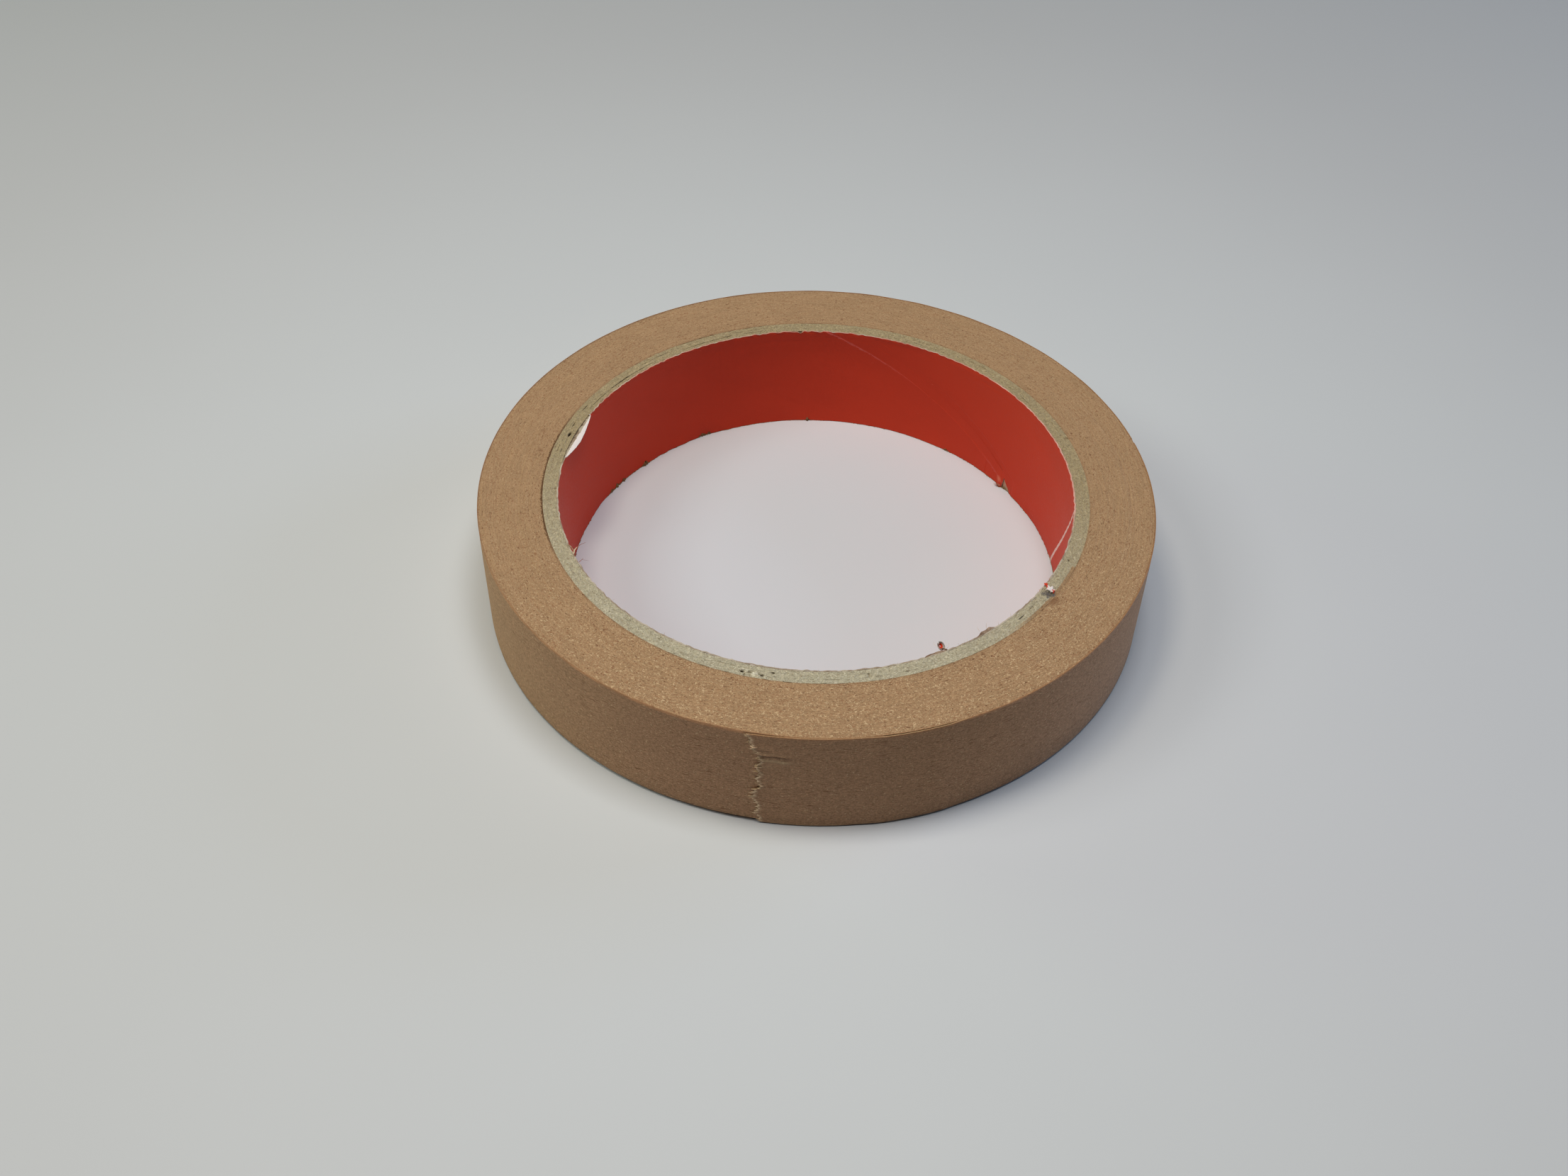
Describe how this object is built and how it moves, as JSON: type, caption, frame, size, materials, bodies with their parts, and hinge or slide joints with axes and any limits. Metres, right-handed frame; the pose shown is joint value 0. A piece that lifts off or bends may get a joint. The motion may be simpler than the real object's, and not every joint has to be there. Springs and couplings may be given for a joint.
{
  "type": "masking tape roll",
  "caption": "Roll of crepe paper masking tape wound on a paper-lined board core, lying flat, with a torn loose end that peels up.",
  "frame": {"origin": "on the roll's axis, at its lower face", "axes": "+Z along the roll's axis, up when it lies flat; the torn loose end faces -Y"},
  "size_m": [0.0999, 0.1001, 0.018],
  "materials": {
    "liner_paper": "satin red paper",
    "core_board": "raw grey board, fibrous cut edge",
    "tape_crepe": "matte crepe paper",
    "adhesive": "tacky adhesive coat, slightly shiny"
  },
  "bodies": {
    "roll": {"core_liner": "liner_paper", "core_ply_inner": "core_board", "core_ply_middle": "core_board", "core_ply_outer": "core_board", "tape_pack": "tape_crepe", "outer_turn": "tape_crepe"},
    "loose_end": {"tape_tail": "tape_crepe", "tail_adhesive": "adhesive"}
  },
  "joints": [
    {"name": "tail_peel", "type": "hinge", "parent": "roll", "child": "loose_end", "pos_m": [0.01976, -0.04604, 0.009], "axis": [0, 0, 1], "range_deg": [0, 150]}
  ]
}
